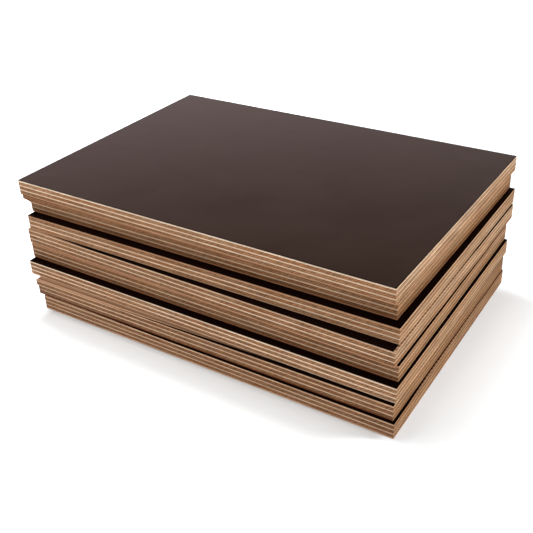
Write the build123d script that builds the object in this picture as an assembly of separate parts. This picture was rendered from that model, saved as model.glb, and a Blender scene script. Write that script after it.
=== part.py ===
from build123d import *
import os

# A loose pile of eight film-faced plywood panels, cut from larger boards.
# Frame: X runs along the panels' long edges, Y across them from front to back, Z up.
# The origin is the middle of the pile's outer box in X and Y, on the floor that it rests on.
# Lengths are millimetres and turns are degrees, positive anticlockwise seen from above.

# Driving dimensions: one board thickness, and the size that the top panel is cut to
THICKNESS = 18.0
TOP_LENGTH = 480.0
TOP_WIDTH = 330.5

# The sharp arrises are broken by sanding
EDGE_BREAK = 0.4

# Each panel from the top of the pile down.
# length and width: its own cut size, a little under the top panel's.
# right and forward: how far its near corner stands out beyond the top panel's near corner.
# turn: how far it lies askew, about that same corner.
# lean: how far its ends are from a right angle with its long edges. Rough cuts are seldom square.
PANELS = {
    "sheet_1": dict(length=TOP_LENGTH, width=TOP_WIDTH, right=0.0, forward=0.0, turn=0.0, lean=0.0),
    "sheet_2": dict(length=477.0, width=316.0, right=0.5, forward=-3.5, turn=0.5, lean=-0.3),
    "sheet_3": dict(length=469.5, width=326.5, right=8.5, forward=7.0, turn=0.55, lean=-0.05),
    "sheet_4": dict(length=473.5, width=333.0, right=10.0, forward=18.5, turn=-0.65, lean=1.1),
    "sheet_5": dict(length=473.0, width=308.5, right=12.5, forward=14.5, turn=0.0, lean=0.8),
    "sheet_6": dict(length=474.0, width=316.0, right=15.5, forward=23.5, turn=0.1, lean=0.55),
    "sheet_7": dict(length=459.5, width=309.5, right=15.0, forward=27.5, turn=0.55, lean=-0.1),
    "sheet_8": dict(length=451.5, width=313.5, right=18.0, forward=31.0, turn=0.3, lean=0.45),
}

# Corners where the lower plies are broken away under the upper ones, at the front left.
# along and across: how far the break reaches in from the corner, in length and in width.
# lip: what is left of the thickness where the break ends, and at the very corner.
BROKEN_CORNERS = {
    "sheet_2": dict(along=12.0, across=16.0, lip_inside=7.0, lip_outside=5.5),
    "sheet_7": dict(along=2.5, across=4.5, lip_inside=8.5, lip_outside=7.0),
}

# How far a cutting solid reaches past the faces that it cuts
OVERCUT = 2.0


def flat_panel(length, width, lean):
    """A panel with its near right corner at the origin and its lower face on Z = 0."""
    end_edge = Vector(0, width).rotate(Axis.Z, lean)
    long_edge = Vector(-length, 0)
    plan = Polyline((0, 0), end_edge, end_edge + long_edge, long_edge, close=True)
    solid = extrude(make_face(plan), THICKNESS)
    return chamfer(solid.edges(), EDGE_BREAK)


def corner_break(length, along, across, lip_inside, lip_outside):
    """What is missing at a front left corner: a three-cornered bite under a sloping lip."""
    grow = 1.0 + OVERCUT / along
    corner_x = -length - OVERCUT
    slope = (lip_inside - lip_outside) / along
    bite_plan = Polyline(
        (corner_x, -OVERCUT),
        (-length + along + along * OVERCUT / across, -OVERCUT),
        (corner_x, across * grow),
        close=True,
    )
    bite_side = Polyline(
        (corner_x, -OVERCUT),
        (-length + along + OVERCUT, -OVERCUT),
        (-length + along + OVERCUT, THICKNESS - lip_inside - slope * OVERCUT),
        (corner_x, THICKNESS - lip_outside + slope * OVERCUT),
        close=True,
    )
    seen_from_above = extrude(make_face(bite_plan), THICKNESS)
    from_below = Pos(0, 0, -OVERCUT) * seen_from_above
    reach = OVERCUT + across * grow
    seen_from_front = extrude(Plane.XZ * make_face(bite_side), reach, both=True)
    return from_below & seen_from_front


def placed_panel(name, level):
    """One panel of the pile, level counting from 0 at the top, before the pile is centred."""
    panel = PANELS[name]
    solid = flat_panel(panel["length"], panel["width"], panel["lean"])
    if name in BROKEN_CORNERS:
        solid = solid - corner_break(panel["length"], **BROKEN_CORNERS[name])
    height = (len(PANELS) - 1 - level) * THICKNESS
    return Pos(panel["right"], -panel["forward"], height) * Rot(0, 0, panel["turn"]) * solid


pile = {name: placed_panel(name, level) for level, name in enumerate(PANELS)}
outer_box = Compound(list(pile.values())).bounding_box()
to_origin = Pos(-outer_box.center().X, -outer_box.center().Y, -outer_box.min.Z)

os.makedirs("parts", exist_ok=True)
for name, solid in pile.items():
    export_step(to_origin * solid, f"parts/{name}.step")

print("outer size of the pile", [round(value, 3) for value in outer_box.size])
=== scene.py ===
import math

import bpy
import numpy as np
from mathutils import Matrix, Vector


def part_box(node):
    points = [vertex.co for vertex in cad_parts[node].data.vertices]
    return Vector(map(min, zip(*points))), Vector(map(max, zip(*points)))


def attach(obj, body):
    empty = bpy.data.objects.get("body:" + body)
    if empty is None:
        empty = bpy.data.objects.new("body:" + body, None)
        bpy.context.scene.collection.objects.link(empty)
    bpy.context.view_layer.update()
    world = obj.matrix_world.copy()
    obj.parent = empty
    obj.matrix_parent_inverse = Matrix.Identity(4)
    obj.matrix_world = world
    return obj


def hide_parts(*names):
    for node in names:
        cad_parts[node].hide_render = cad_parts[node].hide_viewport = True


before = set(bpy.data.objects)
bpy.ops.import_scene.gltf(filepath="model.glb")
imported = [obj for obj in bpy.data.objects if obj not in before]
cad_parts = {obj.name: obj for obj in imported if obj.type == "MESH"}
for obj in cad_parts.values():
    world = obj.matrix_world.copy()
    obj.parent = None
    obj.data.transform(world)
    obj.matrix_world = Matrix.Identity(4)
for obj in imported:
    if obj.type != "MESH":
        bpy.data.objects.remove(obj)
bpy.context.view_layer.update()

# The stack of film-faced plywood panels: veneers, face films, floor, light and camera.
# Positions are metres. The panels' own measures are millimetres, turned into metres by MM.
MM = 0.001
SHEETS = sorted(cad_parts)
TOP_SHEET = SHEETS[0]
LOWEST_SHEET = SHEETS[-1]

# The panel as it is glued up, in millimetres: a film on each face and seven veneers between,
# given from the lowest up. Every second one is a core veneer, with its grain across the panel.
# The others are pale and have their grain along it.
FILM = 0.12
PLIES = (1.6, 3.36, 1.6, 3.78, 1.6, 3.78, 2.04)
PLY_COUNT = len(PLIES)
EDGE_BREAK = 0.4

# How closely the edges are modelled: the step along the outline, the turns round its corners,
# and the rows over each veneer as shares of its thickness
COLUMN_STEP = 2.0
CORNER_TURNS = (15.0, 45.0, 75.0)
PALE_ROWS = (0.1, 0.5, 0.9)
CORE_ROWS = (0.04, 0.25, 0.5, 0.75, 0.96)

# How far the sawn surface lies inside the panel's true outline
SAWN_INSET = 0.05
END_GRAIN_INSET = 0.08
GLUE_LINE_INSET = 0.16
LEAST_INSET = 0.01

# Random waves: how high each is, and over how many columns it changes
GLUE_LINE_WAVES = ((0.13, 14), (0.12, 60))
VENEER_WAVES = ((0.03, 40),)
SAW_ROUGHNESS = ((0.03, 2),)
FILM_WAVES = ((0.06, 3), (0.04, 20))

# The roughness that long grain has, beside the full share that end grain has on top of it
LONG_GRAIN_SHARE = 0.4

# The film's sawn edge: how far in it lies, and the small chips out of it. There is a chip where
# a random line, at most about 1 high, rises above CHIP_RARENESS.
FILM_INSET = 0.1
CHIP_DEPTH = 0.35
CHIP_RARENESS = 0.62
CHIP_REACH = 2

# The film's cross section: each ring's distance in, and its share of the film's thickness.
# FILM_BORDERS are two more rings, farther in on its outer face.
FILM_RINGS = ((0.06, 0.0), (0.0, 0.4), (0.06, 0.8), (0.28, 1.0))
FILM_BORDERS = (1.5, 6.0)

# Corners where the lower plies are broken away, as in the solids
BROKEN_CORNERS = {
    "sheet_2": dict(along=12.0, across=16.0, lip_inside=7.0, lip_outside=5.5),
    "sheet_7": dict(along=2.5, across=4.5, lip_inside=8.5, lip_outside=7.0),
}

# The broken face: how softly it starts under the lip, and its splinters
LIP_SOFTNESS = 1.2
SPLINTER_DEPTH = 0.25
SPLINTERS_IN_HEIGHT = 2.1
SPLINTERS_ACROSS = 9.0

# Where the film is torn off a sheet's upper face, along an edge that stands out.
# Each bare strip lies between two lines. Each line gives its distance in from the edge at two
# places: (place along the edge, distance, place along the edge, distance). Places count from
# the left end on the front edge, and from the near corner on the right edge. Where a strip stops
# short of the sheet above, the dark film left beside that sheet stands as painted shade under it.
TORN_FILM = {
    "sheet_4": [
        dict(edge="front", outer=(0.0, 0.0, 1.0, 0.0), inner=(20.0, 2.4, 95.0, 0.0)),
        dict(edge="right", outer=(0.0, 0.0, 1.0, 0.0), inner=(130.0, 2.0, 225.0, 0.0)),
    ],
    "sheet_5": [
        dict(edge="front", outer=(0.0, 0.0, 1.0, 0.0), inner=(60.0, 2.6, 140.0, 0.6)),
    ],
    "sheet_7": [
        dict(edge="front", outer=(118.0, 0.0, 345.0, 5.2), inner=(0.0, 12.0, 1.0, 12.0)),
    ],
    "sheet_8": [
        dict(edge="front", outer=(0.0, 0.0, 1.0, 0.0), inner=(60.0, 1.2, 170.0, 0.0)),
        dict(edge="right", outer=(190.0, 0.0, 300.0, 0.9), inner=(30.0, 0.0, 82.0, 1.3)),
    ],
}

# How light each sheet's wood is on the long sides and on the ends, and how light each ply is
# beside the rest of the same sheet, from the top down. This is partly the wood's own tone and
# partly painted shade: sheets 2 and 5, set back under the sheet above, are darker, and so are
# outer veneers where they meet the next sheet and lower plies that stand over a ledge. The outer
# veneers have two values, one for the long sides and one for the ends. rim is how dark the resin
# is that has run into the wood under the upper film.
WOOD_TONE_AND_PAINTED_SHADE = {
    "sheet_1": dict(
        sides=1.11, ends=1.06, top_veneer=(1.12, 1.08), top_core=1.20, upper_pale=0.94,
        low_pale=0.87, low_core=0.86, low_veneer=(0.42, 0.56), rim=0.9,
    ),
    "sheet_2": dict(
        sides=0.66, ends=0.60, top_veneer=(0.44, 1.00), top_core=1.22, upper_pale=0.88,
        low_pale=0.70, low_core=0.70, low_veneer=(0.40, 0.60), rim=0.2,
    ),
    "sheet_3": dict(
        sides=1.14, ends=0.98, top_veneer=(0.41, 0.78), top_core=0.80, upper_pale=0.78,
        low_pale=0.82, low_core=1.05, low_veneer=(0.45, 0.80), rim=0.6,
    ),
    "sheet_4": dict(
        sides=0.98, ends=0.94, top_veneer=(0.79, 0.91), top_core=1.02, upper_pale=0.97,
        low_pale=0.97, low_core=0.81, low_veneer=(0.46, 0.60), rim=0.9,
    ),
    "sheet_5": dict(
        sides=0.65, ends=0.75, top_veneer=(0.57, 0.73), top_core=1.05, upper_pale=0.97,
        low_pale=0.74, low_core=0.80, low_veneer=(0.34, 0.90), rim=0.2,
    ),
    "sheet_6": dict(
        sides=1.12, ends=0.86, top_veneer=(0.97, 0.79), top_core=0.95, upper_pale=0.93,
        low_pale=0.95, low_core=1.12, low_veneer=(0.70, 0.92), rim=0.9,
    ),
    "sheet_7": dict(
        sides=0.71, ends=0.63, top_veneer=(0.94, 1.15), top_core=0.95, upper_pale=0.99,
        low_pale=0.87, low_core=1.00, low_veneer=(0.11, 0.70), rim=0.9,
    ),
    "sheet_8": dict(
        sides=0.69, ends=0.76, top_veneer=(1.08, 0.75), top_core=0.92, upper_pale=0.95,
        low_pale=0.94, low_core=1.00, low_veneer=(0.82, 0.82), rim=0.9,
    ),
}

# How strongly a ply's tone and painted shade act on its red, green and blue: on the long sides,
# on the ends, and in the outer veneers. Darker plies are also made redder, as painted warm bounce light in
# shade.
SIDE_POWERS = np.array((0.8, 0.95, 1.12))
END_POWERS = np.array((0.74, 1.06, 1.48))
OUTER_POWERS = np.array((0.68, 1.08, 1.42))


def linear(red, green, blue):
    """A colour written as 0 to 255 display values, as the renderer wants it."""
    def channel(value):
        value /= 255.0
        return value / 12.92 if value <= 0.04045 else ((value + 0.055) / 1.055) ** 2.4
    return (channel(red), channel(green), channel(blue), 1.0)


# Colours as they look in plain light
PALE_LONG_GRAIN = linear(222, 194, 166)
PALE_END_GRAIN = linear(226, 190, 154)
CORE_LONG_GRAIN = linear(170, 133, 101)
CORE_END_GRAIN = linear(138, 98, 67)
WARM_TINT = linear(255, 242, 228)
GREY_TINT = linear(240, 248, 255)
GLUE = linear(84, 56, 38)
# Torn wood: partly the broken wood's own colour, partly painted shade under the lip
TORN_WOOD_AND_SHADE = linear(128, 84, 54)
RESIN_STAIN = linear(30, 18, 12)
BARE_FACE = linear(158, 122, 95)
TOP_FILM = linear(41, 26, 18)
# The film between the panels is darker than the top film, as painted shade on the ledges
SHADED_COVERED_FILM = linear(13, 4, 3)
WHITE = (1.0, 1.0, 1.0, 1.0)

# Patterns in the wood: how often each changes in a millimetre, along its run and across it,
# and its fineness
STROKES = dict(along=0.14, across=0.68, detail=3.0, roughness=0.65)
FIBRES = dict(along=0.04, across=2.6, detail=3.0, roughness=0.6)
STREAKS = dict(along=0.02, across=0.95, detail=2.0, roughness=0.6)
BARE_GRAIN = dict(along=0.012, across=0.5, detail=3.0, roughness=0.6)
PORES = dict(scale=1.6, detail=2.0, roughness=0.7)
WARM_PATCHES = 0.02
GREY_PATCHES = 0.016

# What keeps the patterns of different sheets, plies and tints apart
SHEET_SHIFT = 29.0
FIRST_SHIFT = 3.1
PLY_SHIFT = 11.7
GREY_SHIFT = 31.0
BARE_SHIFT = 3.0
JAG_SHIFT = 7.0

# Marks of the saw: the slope of its strokes, the pitch of its teeth in millimetres, how far the
# teeth's lines follow the strokes, and the share of teeth and strokes in the marks
STROKE_SLOPE = math.radians(38.0)
TOOTH_PITCH = 2.0
TEETH_FOLLOW = 7.0
TEETH_SHARE = 0.45
STROKE_SHARE = 0.5

# Pairs of values: for a pale and a core veneer, for long grain and end grain, for other wood
# and the core's end grain, and for long sides and ends
TINT_BY_PLY = (0.3, 1.0)
THICKNESS_BY_PLY = (1.6, 3.8)
STROKES_BY_GRAIN = (0.25, 0.75)
FIBRES_BY_GRAIN = (0.5, 0.15)
MARK_DEPTH_BY_GRAIN = (0.14, 0.6)
STREAK_DEPTH_BY_SIDE = (0.08, 0.44)
LEAN_BY_SIDE = (1.0, -1.0)

# Ramps: the value where each begins and ends, and what it gives there
SWING = (0.38, 0.62, -0.5, 0.5)
WARM_RAMP = (0.42, 0.62, 0.0, 1.0)
GREY_RAMP = (0.45, 0.62, 0.0, 1.0)
GRAIN_SHADE = (0.2, 0.55, 0.82, 1.12)
PORE_SHADE = (0.3, 0.48, 0.8, 1.02)
PATCH_SHADE = (0.38, 0.62, 1.1, 0.925)
WOOD_ROUGHNESS = (0.2, 0.6, 0.85, 0.7)
GLUE_RAMP = (0.04, 0.16, 0.8, 0.0)
RESIN_DEPTHS = (0.15, 0.75)
CLOUD_SHADE = (0.3, 0.7, 0.93, 1.07)
FLECK_SHADE = (0.3, 0.7, 0.96, 1.04)
FILM_ROUGHNESS = (0.3, 0.7, 0.18, 0.22)
BRUISED_EDGE = (0.4, 2.2, 0.6, 1.0)
BARE_SHADE = (-0.2, 1.8, 0.5, 1.3)

# The wood's mean shade, how much of a broken face takes the torn wood's colour, which is partly
# painted shade under the lip, and the wood's finish. A bump is a strength, and a depth in metres.
MEAN_SHADE = 1.04
TORN_COVER = 0.8
WOOD_GLOSS = 0.25
WOOD_BUMP = (0.5, 0.00015)
PORE_HEIGHT = 0.5

# The films' clouds, flecks and ripple, and their gloss in the open and between the panels
CLOUDS = dict(scale=0.012, detail=3.0)
FLECKS = dict(scale=0.9, detail=3.0, roughness=0.65)
RIPPLE = dict(scale=0.035, detail=2.0)
OPEN_GLOSS = 0.5
COVERED_GLOSS = 0.02
FILM_BUMP = (0.35, 0.0002)
RIPPLE_HEIGHT = 2.0
FLECK_HEIGHT = 0.04

# Torn film: how ragged its border is and how often it changes in a millimetre, how softly it
# ends, and in the bare wood the pitch of the lines and the strength of the fibres over them
JAG_DEPTH = 0.5
JAG_SCALE = 0.1
TORN_SOFTNESS = 0.15
BARE_PITCH = 6.0
BARE_FIBRES = 2.0

# Each piece starts its random draws afresh, from these numbers and its sheet's place
VENEER_SEED = 100
FILM_SEED = 200


# Panels, read from the frame

def read_panel(name):
    """A panel's near right lower corner, its own axes and its size in millimetres."""
    low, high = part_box(name)
    flat = 1e-5
    corners = [v.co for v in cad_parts[name].data.vertices if v.co.z > high.z - flat]
    near_right = max(corners, key=lambda c: c.x - c.y)
    near_left = max(corners, key=lambda c: -c.x - c.y)
    far_right = max(corners, key=lambda c: c.x + c.y)
    lengthwise = (near_right - near_left).normalized()
    crosswise = (far_right - near_right).normalized()
    inset = EDGE_BREAK * MM
    corner = near_right + inset * (lengthwise - crosswise)
    return {
        "name": name,
        "corner": np.array((corner.x, corner.y, low.z)),
        "axes": np.array((lengthwise, crosswise, (0.0, 0.0, 1.0))),
        "length": (near_right - near_left).length / MM + 2 * EDGE_BREAK,
        "width": (far_right - near_right).length / MM + 2 * EDGE_BREAK,
        "thickness": (high.z - low.z) / MM,
    }


def to_world(panel, local):
    """Points of a panel's own frame, in millimetres, as places in the scene."""
    return panel["corner"] + (local * MM) @ panel["axes"]


def outline(panel):
    """Columns round a panel's edge: place, outward direction, and 0 on a long side or 1 on an end."""
    length, width = panel["length"], panel["width"]
    radius = EDGE_BREAK
    sides = [
        ((-radius, 0.0), (-length + radius, 0.0), (0.0, -1.0), 0.0),
        ((-length, radius), (-length, width - radius), (-1.0, 0.0), 1.0),
        ((-length + radius, width), (-radius, width), (0.0, 1.0), 0.0),
        ((0.0, width - radius), (0.0, radius), (1.0, 0.0), 1.0),
    ]
    centres = [
        (-length + radius, radius),
        (-length + radius, width - radius),
        (-radius, width - radius),
        (-radius, radius),
    ]
    half_way = 45.0
    place, outward, end = [], [], []
    for (start, stop, normal, is_end), centre in zip(sides, centres):
        start, stop, normal = np.array(start), np.array(stop), np.array(normal)
        steps = max(2, round(np.linalg.norm(stop - start) / COLUMN_STEP))
        for step in range(steps + 1):
            place.append(start + (stop - start) * step / steps)
            outward.append(normal)
            end.append(is_end)
        for turn in CORNER_TURNS:
            angle = -math.radians(turn)
            cos, sin = math.cos(angle), math.sin(angle)
            direction = np.array((normal[0] * cos - normal[1] * sin, normal[0] * sin + normal[1] * cos))
            place.append(np.array(centre) + radius * direction)
            outward.append(direction)
            end.append(is_end if turn < half_way else 1.0 - is_end)
    return np.array(place), np.array(outward), np.array(end)


def wander(rng, count, reach):
    """A closed line of random values that changes slowly over reach columns, at most about 1."""
    smoothing = 6.0
    tiny = 1e-9
    values = rng.normal(size=count)
    waves = np.fft.rfftfreq(count) * reach
    smooth = np.fft.irfft(np.fft.rfft(values) * np.exp(-waves * waves * smoothing), count)
    return smooth / (np.abs(smooth).max() + tiny)


def wave_sum(rng, count, waves):
    """The sum of several random lines, each with its own height and reach."""
    return sum(height * wander(rng, count, reach) for height, reach in waves)


def broken(panel, place, outward, height):
    """Moves the outline in at a broken corner. Returns places, directions and how torn each is."""
    torn = np.zeros(len(place))
    rule = BROKEN_CORNERS.get(panel["name"])
    if rule is None:
        return place, outward, torn
    along, across = rule["along"], rule["across"]
    corner = np.array((-panel["length"], 0.0))
    inward = place - corner
    on_front = (inward[:, 1] <= inward[:, 0]) & (inward[:, 0] < along) & (inward[:, 1] < EDGE_BREAK)
    on_end = (inward[:, 1] > inward[:, 0]) & (inward[:, 1] < across) & (inward[:, 0] < EDGE_BREAK)
    path = np.where(on_end, along + inward[:, 1], along - inward[:, 0])
    share = np.clip(path / (along + across), 0.0, 1.0)
    slope = (rule["lip_outside"] - rule["lip_inside"]) * np.minimum(1.0, path / along)
    below_lip = (panel["thickness"] - height) - (rule["lip_inside"] + slope)
    torn = np.where(on_front | on_end, np.clip(below_lip / LIP_SOFTNESS + 0.5, 0.0, 1.0), 0.0)
    facing = np.array((-across, -along)) / math.hypot(along, across)
    splinters = np.sin(height * SPLINTERS_IN_HEIGHT + share * SPLINTERS_ACROSS)
    ragged = SPLINTER_DEPTH * splinters * np.sin(math.pi * share)
    chord = corner + np.stack((along * (1.0 - share), across * share), axis=1)
    chord -= ragged[:, None] * facing
    mix = torn[:, None]
    turned = outward + (facing - outward) * mix
    turned /= np.linalg.norm(turned, axis=1)[:, None]
    return place + (chord - place) * mix, turned, torn


# Meshes

def new_piece(name, points, faces, material, smooth, values=None):
    """A mesh object at the origin. values are named numbers or vectors, one for each point."""
    sharp = math.radians(60.0)
    mesh = bpy.data.meshes.new(name)
    mesh.from_pydata(points.tolist(), [], faces)
    mesh.polygons.foreach_set("use_smooth", [smooth] * len(mesh.polygons))
    for key, data in (values or {}).items():
        if data.ndim == 1:
            mesh.attributes.new(key, "FLOAT", "POINT").data.foreach_set("value", data)
        else:
            mesh.attributes.new(key, "FLOAT_VECTOR", "POINT").data.foreach_set("vector", data.ravel())
    mesh.update()
    mesh.set_sharp_from_angle(angle=sharp)
    piece = bpy.data.objects.new(name, mesh)
    bpy.context.collection.objects.link(piece)
    mesh.materials.append(material)
    return piece


def ring_faces(rows, columns):
    """The quads between closed rings of columns points, and a cap on each end."""
    faces = []
    for row in range(rows - 1):
        first = row * columns
        for column in range(columns):
            after = (column + 1) % columns
            above = first + columns
            faces.append((first + column, above + column, above + after, first + after))
    faces.append(tuple(range(columns)))
    last = (rows - 1) * columns
    faces.append(tuple(last + column for column in reversed(range(columns))))
    return faces


def ply_edges(panel, rng, columns):
    """The height of each glue line along the edge. Rolled veneers wander a little."""
    fit = (panel["thickness"] - 2 * FILM) / sum(PLIES)
    lines = [np.full(columns, FILM)]
    level = FILM
    for ply, thickness in enumerate(PLIES):
        level += thickness * fit
        wobble = wave_sum(rng, columns, GLUE_LINE_WAVES)
        lines.append(level + (wobble if ply < PLY_COUNT - 1 else 0.0) + np.zeros(columns))
    return lines


def ply_tone_and_shade(name, end):
    """How light each ply of a sheet is in red, green and blue, column by column, lowest first: its own
    tone with painted shade.
    """
    tones_and_shade = WOOD_TONE_AND_PAINTED_SHADE[name]

    def blend(on_side, on_end):
        return on_side + (on_end - on_side) * end

    inner = [tones_and_shade["low_core"], tones_and_shade["low_pale"], 1.0, tones_and_shade["upper_pale"], tones_and_shade["top_core"]]
    light = [blend(*tones_and_shade["low_veneer"])] + inner + [blend(*tones_and_shade["top_veneer"])]
    wood = blend(tones_and_shade["sides"], tones_and_shade["ends"])
    powers = SIDE_POWERS + (END_POWERS - SIDE_POWERS) * end[:, None]
    plies = []
    for ply, share in enumerate(light):
        outer = ply in (0, PLY_COUNT - 1)
        plies.append((wood * share)[:, None] ** (OUTER_POWERS if outer else powers))
    return plies


def veneer_rows(panel, rng, end):
    """The rows over a sawn edge, from the lowest up: height, layer, inset, and tone with painted shade, by
    column.
    """
    columns = len(end)
    tones_and_shade = ply_tone_and_shade(panel["name"], end)
    lines = ply_edges(panel, rng, columns)
    glued = np.full(columns, GLUE_LINE_INSET)
    rows = []
    for ply in range(PLY_COUNT):
        is_core = ply % 2
        end_grain = np.abs(is_core - end)
        rows.append((lines[ply], float(ply), glued, tones_and_shade[ply]))
        inset = SAWN_INSET + END_GRAIN_INSET * end_grain + wave_sum(rng, columns, VENEER_WAVES)
        for share in (CORE_ROWS if is_core else PALE_ROWS):
            rough = (LONG_GRAIN_SHARE + end_grain) * wave_sum(rng, columns, SAW_ROUGHNESS)
            height = lines[ply] + (lines[ply + 1] - lines[ply]) * share
            rows.append((height, ply + share, np.maximum(inset + rough, LEAST_INSET), tones_and_shade[ply]))
    rows.append((lines[PLY_COUNT], float(PLY_COUNT), glued, tones_and_shade[-1]))
    return rows


def veneers(panel, material, seed):
    """The sawn edge of one panel: seven glued veneers, each with its own relief."""
    rng = np.random.default_rng(seed)
    place, outward, end = outline(panel)
    columns = len(place)
    rows = veneer_rows(panel, rng, end)
    points, local, torn = [], [], []
    for height, _, inset, _ in rows:
        edge, facing, wound = broken(panel, place, outward, height)
        points.append(np.column_stack((edge - facing * inset[:, None], height)))
        local.append(np.column_stack((place, height)))
        torn.append(wound)
    values = {
        "panel": np.concatenate(local),
        "layer": np.repeat([level for _, level, _, _ in rows], columns),
        "tone_and_shade": np.concatenate([tone_and_shade for _, _, _, tone_and_shade in rows]),
        "end": np.tile(end, len(rows)),
        "torn": np.concatenate(torn),
    }
    name = panel["name"] + "_veneers"
    placed = to_world(panel, np.concatenate(points))
    return new_piece(name, placed, ring_faces(len(rows), columns), material, True, values)


def film(panel, face, material, seed):
    """The film on one face. Its sawn edge is ragged by a fraction of a millimetre."""
    rng = np.random.default_rng(seed)
    place, outward, _ = outline(panel)
    columns = len(place)
    ragged = FILM_INSET + wave_sum(rng, columns, FILM_WAVES)
    ragged += CHIP_DEPTH * np.maximum(0.0, wander(rng, columns, CHIP_REACH) - CHIP_RARENESS)
    top = face == "top"
    inner, outer = (panel["thickness"] - FILM, panel["thickness"]) if top else (FILM, 0.0)
    points = []
    for inset, share in FILM_RINGS:
        level = np.full(columns, inner * (1.0 - share) + outer * share)
        edge, facing, _ = broken(panel, place, outward, level)
        points.append(np.column_stack((edge - facing * (inset + ragged)[:, None], level)))
    centre = np.array((-panel["length"] / 2, panel["width"] / 2))
    for inset in FILM_BORDERS:
        shrink = 1.0 - inset / np.abs(centre)
        points.append(np.column_stack((centre + (edge - centre) * shrink, level)))
    faces = ring_faces(len(points), columns)
    if not top:
        faces = [tuple(reversed(face_points)) for face_points in faces]
    local = np.concatenate(points)
    name = f"{panel['name']}_film_{face}"
    return new_piece(name, to_world(panel, local), faces, material, False, {"panel": local})


# Node trees

class Nodes:
    """A node tree, written as plain calls."""

    def __init__(self, tree):
        self.tree = tree

    def node(self, kind, inputs=(), **settings):
        made = self.tree.nodes.new(kind)
        for key, value in settings.items():
            setattr(made, key, value)
        for key, value in dict(inputs).items():
            self.put(made.inputs[key], value)
        return made

    def put(self, socket, value):
        if isinstance(value, bpy.types.NodeSocket):
            self.tree.links.new(value, socket)
        else:
            socket.default_value = value

    def math(self, operation, first, second=0.0, third=0.0):
        inputs = {0: first, 1: second, 2: third}
        return self.node("ShaderNodeMath", inputs, operation=operation).outputs[0]

    def plus(self, first, second):
        return self.math("ADD", first, second)

    def minus(self, first, second):
        return self.math("SUBTRACT", first, second)

    def times(self, first, second):
        return self.math("MULTIPLY", first, second)

    def times_plus(self, first, factor, added):
        return self.math("MULTIPLY_ADD", first, factor, added)

    def between(self, share, pair):
        """A straight blend from the first value of a pair to the second."""
        return self.times_plus(share, pair[1] - pair[0], pair[0])

    def least(self, first, second):
        return self.math("MINIMUM", first, second)

    def most(self, first, second):
        return self.math("MAXIMUM", first, second)

    def attribute(self, name, output="Fac"):
        return self.node("ShaderNodeAttribute", attribute_name=name).outputs[output]

    def split(self, vector):
        parts = self.node("ShaderNodeSeparateXYZ", {0: vector})
        return parts.outputs[0], parts.outputs[1], parts.outputs[2]

    def join(self, x, y, z):
        return self.node("ShaderNodeCombineXYZ", {0: x, 1: y, 2: z}).outputs[0]

    def noise(self, vector, scale=1.0, detail=2.0, roughness=0.5):
        inputs = {"Vector": vector, "Scale": scale, "Detail": detail, "Roughness": roughness}
        return self.node("ShaderNodeTexNoise", inputs).outputs["Fac"]

    def drawn_noise(self, run, over, shift, along, across, detail, roughness):
        """Noise that is drawn out along run."""
        point = self.join(self.times(run, along), self.times(over, across), shift)
        return self.noise(point, detail=detail, roughness=roughness)

    def ramp(self, value, low, high, to_low=0.0, to_high=1.0):
        inputs = {"Value": value, 1: low, 2: high, 3: to_low, 4: to_high}
        return self.node("ShaderNodeMapRange", inputs, interpolation_type="SMOOTHSTEP").outputs[0]

    def mix(self, factor, first, second, blend="MIX"):
        made = self.node("ShaderNodeMix", data_type="RGBA", blend_type=blend)
        self.put(made.inputs[0], factor)
        self.put(made.inputs[6], first)
        self.put(made.inputs[7], second)
        return made.outputs[2]

    def darken(self, colour, factor):
        """A colour times one factor for red, green and blue."""
        return self.mix(1.0, colour, self.join(factor, factor, factor), blend="MULTIPLY")


class Shader(Nodes):
    """The node tree of a new material."""

    def __init__(self, name):
        self.material = bpy.data.materials.new(name)
        self.material.use_nodes = True
        super().__init__(self.material.node_tree)
        self.surface = self.tree.nodes["Principled BSDF"]

    def bump(self, height, strength, distance):
        inputs = {"Height": height, "Strength": strength, "Distance": distance}
        self.put(self.surface.inputs["Normal"], self.node("ShaderNodeBump", inputs).outputs[0])


# Wood

def saw_marks(shader, run, z, end, end_grain, core, shift):
    """Noise in the strokes of the saw, and how light or dark its marks are."""
    # The strokes lean to the right on the long sides, and the other way on the ends
    lean = shader.times(z, shader.between(end, LEAN_BY_SIDE))
    cos, sin = math.cos(STROKE_SLOPE), math.sin(STROKE_SLOPE)
    with_stroke = shader.plus(shader.times(run, cos), shader.times(lean, sin))
    over_stroke = shader.minus(shader.times(lean, cos), shader.times(run, sin))
    strokes = shader.drawn_noise(with_stroke, over_stroke, shift, **STROKES)
    followed = shader.times(strokes, TEETH_FOLLOW)
    teeth = shader.math("SINE", shader.times_plus(over_stroke, 2.0 * math.pi / TOOTH_PITCH, followed))
    marks = shader.times_plus(shader.ramp(strokes, *SWING), STROKE_SHARE, shader.times(teeth, TEETH_SHARE))
    depth = shader.between(shader.times(end_grain, core), MARK_DEPTH_BY_GRAIN)
    return strokes, shader.times(marks, depth)


def tinted_wood(shader, core, end_grain, warm_patches, grey_patches):
    """The wood's colour by kind of veneer and direction of grain, with warm and grey patches."""
    core_colour = shader.mix(end_grain, CORE_LONG_GRAIN, CORE_END_GRAIN)
    pale_colour = shader.mix(end_grain, PALE_LONG_GRAIN, PALE_END_GRAIN)
    colour = shader.mix(core, pale_colour, core_colour)
    tinting = shader.between(core, TINT_BY_PLY)
    warm = shader.times(tinting, shader.ramp(warm_patches, *WARM_RAMP))
    grey = shader.times(tinting, shader.ramp(grey_patches, *GREY_RAMP))
    colour = shader.mix(warm, colour, WARM_TINT, blend="MULTIPLY")
    return shader.mix(grey, colour, GREY_TINT, blend="MULTIPLY")


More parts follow.
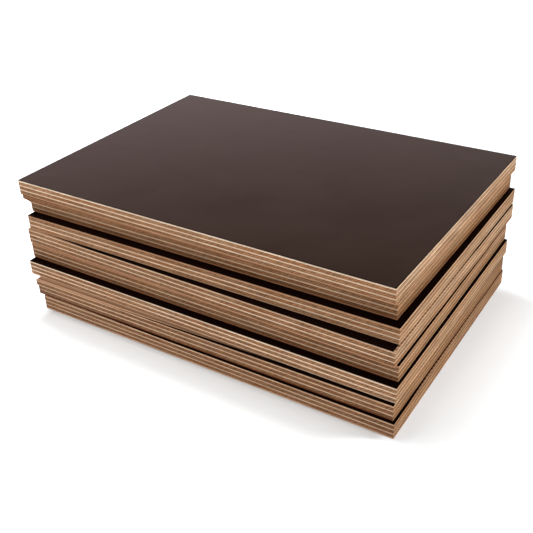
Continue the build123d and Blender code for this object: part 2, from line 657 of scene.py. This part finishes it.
def stained(shader, colour, layer, core, rim):
    """Dark glue lines, as wide in thin as in thick plies, and resin under the upper film."""
    across = shader.math("FRACT", layer)
    nearest = shader.least(across, shader.minus(1.0, across))
    depth = shader.times(nearest, shader.between(core, THICKNESS_BY_PLY))
    colour = shader.mix(shader.ramp(depth, *GLUE_RAMP), colour, GLUE)
    below_film = shader.times(shader.minus(float(PLY_COUNT), layer), PLIES[-1])
    return shader.mix(shader.ramp(below_film, *RESIN_DEPTHS, rim, 0.0), colour, RESIN_STAIN)


def veneer_material(name, shift, rim):
    """Glued veneers: pale and core plies, long grain or end grain by the side they show on."""
    shader = Shader(name)
    x, y, z = shader.split(shader.attribute("panel", "Vector"))
    end = shader.attribute("end")
    layer = shader.attribute("layer")
    ply = shader.math("FLOOR", layer)
    core = shader.math("MODULO", ply, 2.0)
    end_grain = shader.math("ABSOLUTE", shader.minus(core, end))
    run = shader.plus(x, shader.times(y, end))
    own = shader.times_plus(ply, PLY_SHIFT, shift)
    strokes, marks = saw_marks(shader, run, z, end, end_grain, core, shift)
    fibres = shader.drawn_noise(run, z, own, **FIBRES)
    streaks = shader.drawn_noise(run, z, shift, **STREAKS)
    warm_patches = shader.noise(shader.join(shader.times(run, WARM_PATCHES), own, 0.0))
    grey_patches = shader.noise(shader.join(shader.times(run, GREY_PATCHES), own, GREY_SHIFT))
    pores = shader.noise(shader.join(x, y, z), **PORES)
    in_strokes = shader.times(strokes, shader.between(end_grain, STROKES_BY_GRAIN))
    in_fibres = shader.times(fibres, shader.between(end_grain, FIBRES_BY_GRAIN))
    grain = shader.plus(in_strokes, in_fibres)

    streak = shader.times(shader.ramp(streaks, *SWING), shader.between(end, STREAK_DEPTH_BY_SIDE))
    marked = shader.plus(shader.plus(MEAN_SHADE, marks), streak)
    shade = shader.times(shader.ramp(grain, *GRAIN_SHADE), marked)
    shade = shader.times(shade, shader.ramp(pores, *PORE_SHADE))
    shade = shader.times(shade, shader.ramp(warm_patches, *PATCH_SHADE))
    colour = tinted_wood(shader, core, end_grain, warm_patches, grey_patches)
    # The ply's tone, which is partly painted shade, darkens its colour
    colour = shader.mix(1.0, colour, shader.attribute("tone_and_shade", "Vector"), blend="MULTIPLY")
    colour = stained(shader, shader.darken(colour, shade), layer, core, rim)
    # Broken faces take the torn wood colour, partly painted shade under the lip
    colour = shader.mix(shader.times(shader.attribute("torn"), TORN_COVER), colour, TORN_WOOD_AND_SHADE)
    shader.put(shader.surface.inputs["Base Color"], colour)
    shader.put(shader.surface.inputs["Roughness"], shader.ramp(grain, *WOOD_ROUGHNESS))
    shader.surface.inputs["Specular IOR Level"].default_value = WOOD_GLOSS
    shader.bump(shader.plus(grain, shader.times(pores, PORE_HEIGHT)), *WOOD_BUMP)
    return shader.material


# Films

def torn_strip(shader, panel, rule, x, y):
    """1 where the film is torn off the upper face in one strip, 0 elsewhere."""
    if rule["edge"] == "front":
        place, inward = shader.plus(x, panel["length"]), y
    else:
        place, inward = y, shader.times(x, -1.0)
    jagged = shader.noise(shader.join(shader.times(place, JAG_SCALE), JAG_SHIFT, 0.0), detail=3.0)
    inward = shader.plus(inward, shader.between(jagged, (-JAG_DEPTH / 2, JAG_DEPTH / 2)))
    limits = []
    for start, at_start, stop, at_stop in (rule["outer"], rule["inner"]):
        slope = (at_stop - at_start) / (stop - start)
        line = shader.times_plus(shader.minus(place, start), slope, at_start)
        line = shader.least(shader.most(line, min(at_start, at_stop)), max(at_start, at_stop))
        limits.append(shader.minus(inward, line))
    past_outer = shader.ramp(limits[0], -TORN_SOFTNESS, TORN_SOFTNESS)
    before_inner = shader.ramp(limits[1], -TORN_SOFTNESS, TORN_SOFTNESS, 1.0, 0.0)
    return shader.times(past_outer, before_inner)


def bare_wood(shader, x, y):
    """The face veneer where the film is torn off, with lines along its grain."""
    fibres = shader.drawn_noise(x, y, BARE_SHIFT, **BARE_GRAIN)
    lines = shader.math("SINE", shader.times_plus(y, 2.0 * math.pi / BARE_PITCH, fibres))
    light = shader.ramp(shader.times_plus(fibres, BARE_FIBRES, lines), *BARE_SHADE)
    return shader.darken(BARE_FACE, light)


def edge_distance(shader, panel, x, y):
    """How far a point of a panel's face is from the nearest edge."""
    from_ends = shader.least(shader.times(x, -1.0), shader.plus(x, panel["length"]))
    from_sides = shader.least(y, shader.minus(panel["width"], y))
    return shader.least(from_ends, from_sides)


def film_material(name, colour, gloss, panel, torn=False):
    """Smooth dark resin film, a little cloudy, and darker where its edge is bruised."""
    shader = Shader(name)
    point = shader.attribute("panel", "Vector")
    x, y, _ = shader.split(point)
    clouds = shader.noise(point, **CLOUDS)
    flecks = shader.noise(point, **FLECKS)
    shade = shader.times(shader.ramp(clouds, *CLOUD_SHADE), shader.ramp(flecks, *FLECK_SHADE))
    bruised = shader.ramp(edge_distance(shader, panel, x, y), *BRUISED_EDGE)
    surface = shader.darken(colour, shader.times(shade, bruised))
    if torn:
        bare = bare_wood(shader, x, y)
        for rule in TORN_FILM[panel["name"]]:
            surface = shader.mix(torn_strip(shader, panel, rule, x, y), surface, bare)
    shader.put(shader.surface.inputs["Base Color"], surface)
    shader.put(shader.surface.inputs["Roughness"], shader.ramp(clouds, *FILM_ROUGHNESS))
    shader.surface.inputs["Specular IOR Level"].default_value = gloss
    ripple = shader.times(shader.noise(point, **RIPPLE), RIPPLE_HEIGHT)
    shader.bump(shader.plus(ripple, shader.times(flecks, FLECK_HEIGHT)), *FILM_BUMP)
    return shader.material


# The object

def dress(name, number):
    """One panel's veneers, and the film on its upper and its lower face."""
    panel = read_panel(name)
    shift = FIRST_SHIFT + SHEET_SHIFT * number
    wood = veneer_material(f"{name}_wood", shift, WOOD_TONE_AND_PAINTED_SHADE[name]["rim"])
    edge = veneers(panel, wood, VENEER_SEED + number)
    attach(edge, "root")
    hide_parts(name)
    for face, uncovered in (("top", name == TOP_SHEET), ("bottom", name == LOWEST_SHEET)):
        label = f"{name}_{face}_film"
        if uncovered:
            material = film_material(label, TOP_FILM, OPEN_GLOSS, panel)
        else:
            torn = face == "top" and name in TORN_FILM
            # Covered films take the darker film colour, painted shade on the ledges
            material = film_material(label, SHADED_COVERED_FILM, COVERED_GLOSS, panel, torn)
        skin = film(panel, face, material, FILM_SEED + 2 * number + uncovered)
        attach(skin, "root")


for number, name in enumerate(SHEETS):
    dress(name, number)


# Floor

# The floor's reach to each side and its level in metres. The level is a little lower than the
# lowest film, so that the two faces don't coincide.
FLOOR_REACH = 3.0
FLOOR_LEVEL = -0.05 * MM

# How far the opening under the lowest sheet stays inside that sheet, in millimetres
OPENING_MARGIN = 1.2

# The floor's own lightness and tint, and the colour that it is lifted to white with. The glow is
# a little blue, a painted tint that takes the warm bounce light out of the floor's shade.
FLOOR_WHITE = 0.81
FLOOR_TINT = (0.995, 1.0, 1.0)
FLOOR_ROUGHNESS = 0.9
GLOW_COLOUR = (0.94, 1.0, 1.04, 1.0)

# How far the floor is overexposed: close in front of the object, close beside it, farther off
# and far away. The lower lifts close in front and beside let the object's shadow show there, in
# zones set by place, so that this shade is partly cast and partly painted shadow. Beside it, the
# lift falls by SIDE_FALL away from the object. Close in front, the floor's own colour is also
# darker for camera rays, a painted shadow. At the left it is nearly as white as far away, by the
# share LEFT_SHARE, which paints the shadow out there.
FRONT_LIFT = 0.05
SIDE_LIFT = 0.28
SIDE_FALL = 0.07
NEAR_LIFT = 0.35
FAR_LIFT = 0.9
FRONT_PAINTED_SHADOW = 0.2
LEFT_SHARE = 0.85

# Where the floor's zones, and so its painted shadow, begin and end, in metres from a side of the lowest
# sheet
PAST_LEFT = (-0.02, 0.02)
PAST_RIGHT = (-0.02, 0.0)
PAST_FRONT = (-0.02, 0.02)
BEFORE_BACK = (-0.03, 0.01)
LEFT_OF_OBJECT = (-0.004, 0.02)
FRONT_ZONE = (-0.074, -0.022)
SIDE_ZONE = (0.06, 0.13)
SIDE_FALL_ZONE = (0.015, 0.05)

# The painted shadow in front is narrower towards both corners, by these shares of its full depth
LEFT_CORNER = (-0.01, 0.08, 0.6, 1.0)
RIGHT_CORNER = (-0.08, -0.005, 0.92, 0.1)

# Where the floor becomes far, in metres from the middle of the object
FAR_ZONE = (0.32, 0.6)


def floor_lift_and_painted_shadow(shader):
    """The painted shadow that the camera sees near the object, and how far the floor is lifted to pure
    white.
    """
    low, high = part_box(LOWEST_SHEET)
    place = shader.node("ShaderNodeNewGeometry").outputs["Position"]
    x, y, _ = shader.split(place)

    def from_side(value, side, zone, to_low=0.0, to_high=1.0):
        return shader.ramp(value, side + zone[0], side + zone[1], to_low, to_high)

    past_left = from_side(x, low.x, PAST_LEFT)
    past_right = from_side(x, high.x, PAST_RIGHT)
    past_front = from_side(y, low.y, PAST_FRONT)
    before_back = from_side(y, high.y, BEFORE_BACK, 1.0, 0.0)
    near_right = from_side(x, high.x, SIDE_ZONE, 1.0, 0.0)
    left = from_side(x, low.x, LEFT_OF_OBJECT, 1.0, 0.0)
    by_left_corner = from_side(x, low.x, LEFT_CORNER[:2], *LEFT_CORNER[2:])
    by_right_corner = from_side(x, high.x, RIGHT_CORNER[:2], *RIGHT_CORNER[2:])

    ahead = shader.math("DIVIDE", shader.minus(y, low.y), shader.times(by_left_corner, by_right_corner))
    in_front = shader.times(shader.ramp(ahead, *FRONT_ZONE), past_left)
    in_front = shader.times(in_front, shader.minus(1.0, past_right))
    beside = shader.times(past_right, near_right)
    beside = shader.times(beside, shader.times(past_front, before_back))
    distance = shader.node("ShaderNodeVectorMath", {0: place}, operation="LENGTH").outputs["Value"]
    far = shader.most(shader.minus(1.0, before_back), shader.ramp(distance, *FAR_ZONE))
    far = shader.most(far, shader.times(left, LEFT_SHARE))

    side_change = SIDE_LIFT - NEAR_LIFT
    fall = from_side(x, high.x, SIDE_FALL_ZONE, side_change, side_change - SIDE_FALL)
    lift = shader.times_plus(in_front, FRONT_LIFT - NEAR_LIFT, NEAR_LIFT)
    lift = shader.times_plus(beside, fall, lift)
    lift = shader.times_plus(far, FAR_LIFT - NEAR_LIFT, lift)
    painted_dim = shader.times_plus(in_front, -FRONT_PAINTED_SHADOW, 1.0)
    return painted_dim, lift


def rectangle(left, right, near, far):
    """The corners of a rectangle on the ground, anticlockwise from its near left one."""
    return np.array(((left, near, 0.0), (right, near, 0.0), (right, far, 0.0), (left, far, 0.0)))


def floor_plan():
    """The floor's points and faces. It is open under the lowest sheet, to light it from below."""
    lowest = read_panel(LOWEST_SHEET)
    left, right = OPENING_MARGIN - lowest["length"], -OPENING_MARGIN
    near, far = OPENING_MARGIN, lowest["width"] - OPENING_MARGIN
    opening = to_world(lowest, rectangle(left, right, near, far))
    outside = rectangle(-FLOOR_REACH, FLOOR_REACH, -FLOOR_REACH, FLOOR_REACH)
    points = np.concatenate((outside, opening))
    points[:, 2] = FLOOR_LEVEL
    faces = [(0, 1, 5, 4), (1, 2, 6, 5), (2, 3, 7, 6), (3, 0, 4, 7)]
    return points, faces


def white_floor():
    """A white floor with a soft shadow near the object, partly cast by the lamps and partly painted."""
    points, faces = floor_plan()
    shader = Shader("floor")
    painted_dim, lift = floor_lift_and_painted_shadow(shader)
    camera_ray = shader.node("ShaderNodeLightPath").outputs["Is Camera Ray"]
    # Painted shadow: close in front of the object, camera rays see a darker floor
    painted_darker = shader.times(camera_ray, shader.minus(1.0, painted_dim))
    white = shader.times_plus(painted_darker, -FLOOR_WHITE, FLOOR_WHITE)
    tinted = (shader.times(white, share) for share in FLOOR_TINT)
    shader.put(shader.surface.inputs["Base Color"], shader.join(*tinted))
    shader.surface.inputs["Roughness"].default_value = FLOOR_ROUGHNESS
    shader.surface.inputs["Specular IOR Level"].default_value = 0.0
    glowing = {"Color": GLOW_COLOUR, "Strength": shader.times(camera_ray, lift)}
    glow = shader.node("ShaderNodeEmission", glowing).outputs[0]
    both = shader.node("ShaderNodeAddShader", {0: shader.surface.outputs[0], 1: glow}).outputs[0]
    # Seen from below, the floor isn't there
    underneath = shader.node("ShaderNodeNewGeometry").outputs["Backfacing"]
    clear = shader.node("ShaderNodeBsdfTransparent").outputs[0]
    sided = shader.node("ShaderNodeMixShader", {0: underneath, 1: both, 2: clear}).outputs[0]
    shader.put(shader.tree.nodes["Material Output"].inputs["Surface"], sided)
    floor = new_piece("floor", points, faces, shader.material, False)


# Light and camera

# The room is grey. Its pale backdrop lies in the direction BACKDROP_SIDE, and fades in over
# BACKDROP_FADE. BACKDROP_LEVELS gives its brightness from the horizon up.
ROOM_GREY = (0.2, 0.2, 0.2, 1.0)
BACKDROP_SIDE = (-0.83, 0.56, 0.0)
BACKDROP_FADE = (0.18, 0.9)
BACKDROP_LEVELS = (
    (0.0, 1.0), (0.2, 0.85), (0.32, 0.62), (0.4, 0.37), (0.47, 0.18), (0.55, 0.06), (1.0, 0.03),
)
BACKDROP_TINT = (1.0, 0.83, 0.84)

# Square soft lamps: where each stands as a direction from the origin and a distance in metres,
# its width in metres and its power in watts
LAMPS = {
    "key": dict(direction=(1.0, -0.58, 0.7), distance=3.0, size=2.5, power=65.0),
    "fill": dict(direction=(-1.0, -1.0, 0.4), distance=1.3, size=0.8, power=3.4),
    "overhead": dict(direction=(-0.3, 0.12, 1.0), distance=1.6, size=0.85, power=24.5),
}

# The photograph's width and focal length in pixels, the camera's turns in degrees, and in
# millimetres the point it aims at, counted from the near corner of the top sheet, and how far
# it stands from that point
FRAME_PIXELS = 533.0
FOCAL_PIXELS = 818.1
AZIMUTH = 33.94
ELEVATION = 30.92
ROLL = -2.51
AIM = (-121.0, -23.8, 0.0)
CAMERA_DISTANCE = 761.7
SENSOR_WIDTH = 36.0
CLIP_START = 0.01


def backdrop_colour(nodes, height):
    """The backdrop's colour by height."""
    ramp = nodes.node("ShaderNodeValToRGB", {0: height})
    stops = ramp.color_ramp.elements
    while len(stops) < len(BACKDROP_LEVELS):
        stops.new(0.5)
    for stop, (position, level) in zip(stops, BACKDROP_LEVELS):
        stop.position = position
        stop.color = tuple(level * share for share in BACKDROP_TINT) + (1.0,)
    return ramp.outputs[0]


def studio_world():
    """A pale backdrop behind, brightest low down. The camera sees it as plain white."""
    world = bpy.data.worlds.new("studio")
    bpy.context.scene.world = world
    world.use_nodes = True
    nodes = Nodes(world.node_tree)
    direction = nodes.node("ShaderNodeTexCoord").outputs["Generated"]
    facing = {0: direction, 1: BACKDROP_SIDE}
    behind = nodes.node("ShaderNodeVectorMath", facing, operation="DOT_PRODUCT").outputs["Value"]
    _, _, height = nodes.split(direction)
    room = nodes.mix(nodes.ramp(behind, *BACKDROP_FADE), ROOM_GREY, backdrop_colour(nodes, height))
    camera_ray = nodes.node("ShaderNodeLightPath").outputs["Is Camera Ray"]
    colour = nodes.mix(camera_ray, room, WHITE)
    nodes.put(world.node_tree.nodes["Background"].inputs["Color"], colour)


def soft_light(name, direction, distance, size, power):
    """A square soft lamp that looks at the stack from a direction. The films don't mirror it."""
    data = bpy.data.lights.new(name, "AREA")
    data.shape = "SQUARE"
    data.size = size
    data.energy = power
    lamp = bpy.data.objects.new(name, data)
    lamp.location = Vector(direction).normalized() * distance
    lamp.rotation_euler = Vector(direction).to_track_quat("Z", "Y").to_euler()
    lamp.visible_glossy = False
    bpy.context.collection.objects.link(lamp)


def photo_camera():
    """The photograph's view, set from the near corner of the top sheet."""
    low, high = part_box(TOP_SHEET)
    near_corner = Vector((high.x, low.y, high.z))
    target = near_corner + Vector(AIM) * MM
    data = bpy.data.cameras.new("camera")
    data.sensor_width = SENSOR_WIDTH
    data.lens = FOCAL_PIXELS / FRAME_PIXELS * SENSOR_WIDTH
    data.clip_start = CLIP_START
    camera = bpy.data.objects.new("camera", data)
    azimuth, elevation, roll = (math.radians(angle) for angle in (AZIMUTH, ELEVATION, ROLL))
    turn = Matrix.Rotation(azimuth, 4, "Z") @ Matrix.Rotation(math.pi / 2 - elevation, 4, "X")
    back = turn @ Vector((0.0, 0.0, 1.0))
    place = Matrix.Translation(target + back * (CAMERA_DISTANCE * MM))
    camera.matrix_world = place @ turn @ Matrix.Rotation(roll, 4, "Z")
    bpy.context.collection.objects.link(camera)
    bpy.context.scene.camera = camera


white_floor()
studio_world()
for lamp_name, lamp_values in LAMPS.items():
    soft_light(lamp_name, **lamp_values)
photo_camera()
bpy.context.scene.view_settings.view_transform = "Standard"
